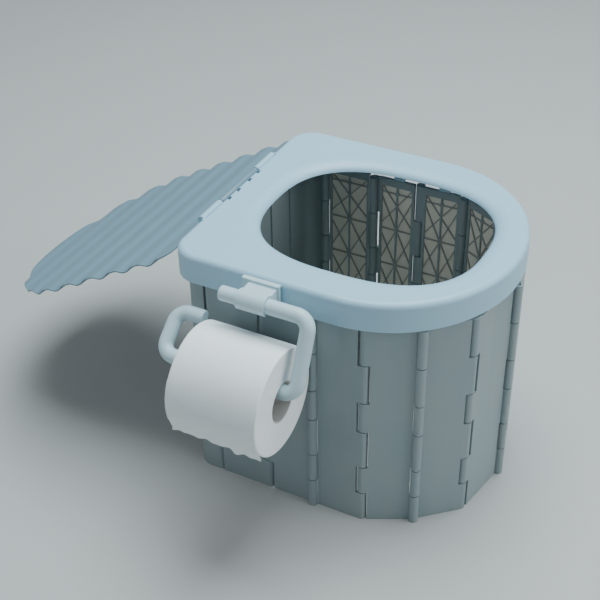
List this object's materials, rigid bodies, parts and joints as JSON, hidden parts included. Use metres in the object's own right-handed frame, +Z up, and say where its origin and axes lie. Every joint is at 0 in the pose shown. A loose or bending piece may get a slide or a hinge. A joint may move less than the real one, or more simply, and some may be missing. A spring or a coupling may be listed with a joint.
{
  "type": "portable camp toilet",
  "caption": "Portable camp toilet: D-shaped seat on a folding ring of hinged wall panels, corrugated lid swung back, tube paper holder with a roll on the side.",
  "frame": {"origin": "on the floor, at the middle of the back wall's foot", "axes": "+Z up, +X towards the rounded front of the seat, -Y towards the side with the paper holder"},
  "size_m": [0.588, 0.3946, 0.2845],
  "materials": {
    "wall_plastic": "fine moulded satin, cool blue-grey",
    "seat_plastic": "smooth moulded satin, pale blue-grey",
    "lid_plastic": "smooth moulded satin, blue-grey",
    "holder_plastic": "smooth moulded satin, blue-grey",
    "pin_steel": "plain drawn rod",
    "core_board": "grey-brown cardboard",
    "tissue_paper": "soft white tissue"
  },
  "bodies": {
    "back": {"back_wall": "wall_plastic", "hinge_pin_right_1": "pin_steel", "hinge_pin_left_1": "pin_steel"},
    "right_link_1": {"panel_right_1": "wall_plastic", "hinge_pin_right_2": "pin_steel"},
    "right_link_2": {"panel_right_2": "wall_plastic", "hinge_pin_right_3": "pin_steel"},
    "right_link_3": {"panel_right_3": "wall_plastic", "hinge_pin_right_4": "pin_steel"},
    "right_link_4": {"panel_right_4": "wall_plastic", "hinge_pin_right_5": "pin_steel"},
    "right_link_5": {"panel_right_5": "wall_plastic", "hinge_pin_right_6": "pin_steel"},
    "right_link_6": {"panel_right_6": "wall_plastic", "hinge_pin_front": "pin_steel"},
    "left_link_1": {"panel_left_1": "wall_plastic", "hinge_pin_left_2": "pin_steel"},
    "left_link_2": {"panel_left_2": "wall_plastic", "hinge_pin_left_3": "pin_steel"},
    "left_link_3": {"panel_left_3": "wall_plastic", "hinge_pin_left_4": "pin_steel"},
    "left_link_4": {"panel_left_4": "wall_plastic", "hinge_pin_left_5": "pin_steel"},
    "left_link_5": {"panel_left_5": "wall_plastic", "hinge_pin_left_6": "pin_steel"},
    "left_link_6": {"panel_left_6": "wall_plastic"},
    "seat": {"seat": "seat_plastic", "lid_hinge_rod": "pin_steel", "holder_rail": "seat_plastic", "holder_clip": "holder_plastic"},
    "lid": {"lid": "lid_plastic"},
    "holder": {"holder_tube": "holder_plastic"},
    "roll": {"roll_core": "core_board", "paper_roll": "tissue_paper", "paper_tail": "tissue_paper"}
  },
  "joints": [
    {"name": "right_fold_1", "type": "hinge", "parent": "back", "child": "right_link_1", "pos_m": [0.0265, -0.128, 0.126], "axis": [0, 0, 1], "range_deg": [0, 92]},
    {"name": "right_fold_2", "type": "hinge", "parent": "right_link_1", "child": "right_link_2", "pos_m": [0.0885, -0.128, 0.126], "axis": [0, 0, 1], "range_deg": [-100.82, 0]},
    {"name": "right_fold_3", "type": "hinge", "parent": "right_link_2", "child": "right_link_3", "pos_m": [0.1425, -0.134, 0.126], "axis": [0, 0, 1], "range_deg": [-103.02, 0]},
    {"name": "right_fold_4", "type": "hinge", "parent": "right_link_3", "child": "right_link_4", "pos_m": [0.1965, -0.128, 0.126], "axis": [0, 0, 1], "range_deg": [0, 153.02]},
    {"name": "right_fold_5", "type": "hinge", "parent": "right_link_4", "child": "right_link_5", "pos_m": [0.24734, -0.10883, 0.126], "axis": [0, 0, 1], "range_deg": [-74.02, 0]},
    {"name": "right_fold_6", "type": "hinge", "parent": "right_link_5", "child": "right_link_6", "pos_m": [0.28345, -0.06824, 0.126], "axis": [0, 0, 1], "range_deg": [0, 47.72]},
    {"name": "left_fold_1", "type": "hinge", "parent": "back", "child": "left_link_1", "pos_m": [0.0265, 0.128, 0.126], "axis": [0, 0, 1], "range_deg": [-92.02, 0]},
    {"name": "left_fold_2", "type": "hinge", "parent": "left_link_1", "child": "left_link_2", "pos_m": [0.0885, 0.128, 0.126], "axis": [0, 0, 1], "range_deg": [0, 100.82]},
    {"name": "left_fold_3", "type": "hinge", "parent": "left_link_2", "child": "left_link_3", "pos_m": [0.1425, 0.134, 0.126], "axis": [0, 0, 1], "range_deg": [0, 103.02]},
    {"name": "left_fold_4", "type": "hinge", "parent": "left_link_3", "child": "left_link_4", "pos_m": [0.1965, 0.128, 0.126], "axis": [0, 0, 1], "range_deg": [-153.02, 0]},
    {"name": "left_fold_5", "type": "hinge", "parent": "left_link_4", "child": "left_link_5", "pos_m": [0.24734, 0.10883, 0.126], "axis": [0, 0, 1], "range_deg": [0, 74.02]},
    {"name": "left_fold_6", "type": "hinge", "parent": "left_link_5", "child": "left_link_6", "pos_m": [0.28345, 0.06824, 0.126], "axis": [0, 0, 1], "range_deg": [-47.72, 0]},
    {"name": "seat_lift", "type": "slide", "parent": "back", "child": "seat", "axis": [0, 0, 1], "range_m": [0, 0.06]},
    {"name": "lid_hinge", "type": "hinge", "parent": "seat", "child": "lid", "pos_m": [-0.0125, 0, 0.28], "axis": [0, 1, 0], "range_deg": [0, 209.2]},
    {"name": "holder_swing", "type": "hinge", "parent": "seat", "child": "holder", "pos_m": [0.099, -0.166, 0.272], "axis": [-1, 0, 0], "range_deg": [0, 100]},
    {"name": "roll_spin", "type": "hinge", "parent": "holder", "child": "roll", "pos_m": [0.0965, -0.197, 0.191], "axis": [1, 0, 0], "continuous": true}
  ],
  "couplings": [
    {"joint": "right_fold_2", "follows": "right_fold_1", "ratio": -1.0957},
    {"joint": "right_fold_3", "follows": "right_fold_1", "ratio": -1.1196},
    {"joint": "right_fold_4", "follows": "right_fold_1", "ratio": 1.663},
    {"joint": "right_fold_5", "follows": "right_fold_1", "ratio": -0.80435},
    {"joint": "right_fold_6", "follows": "right_fold_1", "ratio": 0.51848},
    {"joint": "left_fold_1", "follows": "right_fold_1", "ratio": -1},
    {"joint": "left_fold_2", "follows": "right_fold_1", "ratio": 1.0957},
    {"joint": "left_fold_3", "follows": "right_fold_1", "ratio": 1.1196},
    {"joint": "left_fold_4", "follows": "right_fold_1", "ratio": -1.663},
    {"joint": "left_fold_5", "follows": "right_fold_1", "ratio": 0.80435},
    {"joint": "left_fold_6", "follows": "right_fold_1", "ratio": -0.51848}
  ]
}
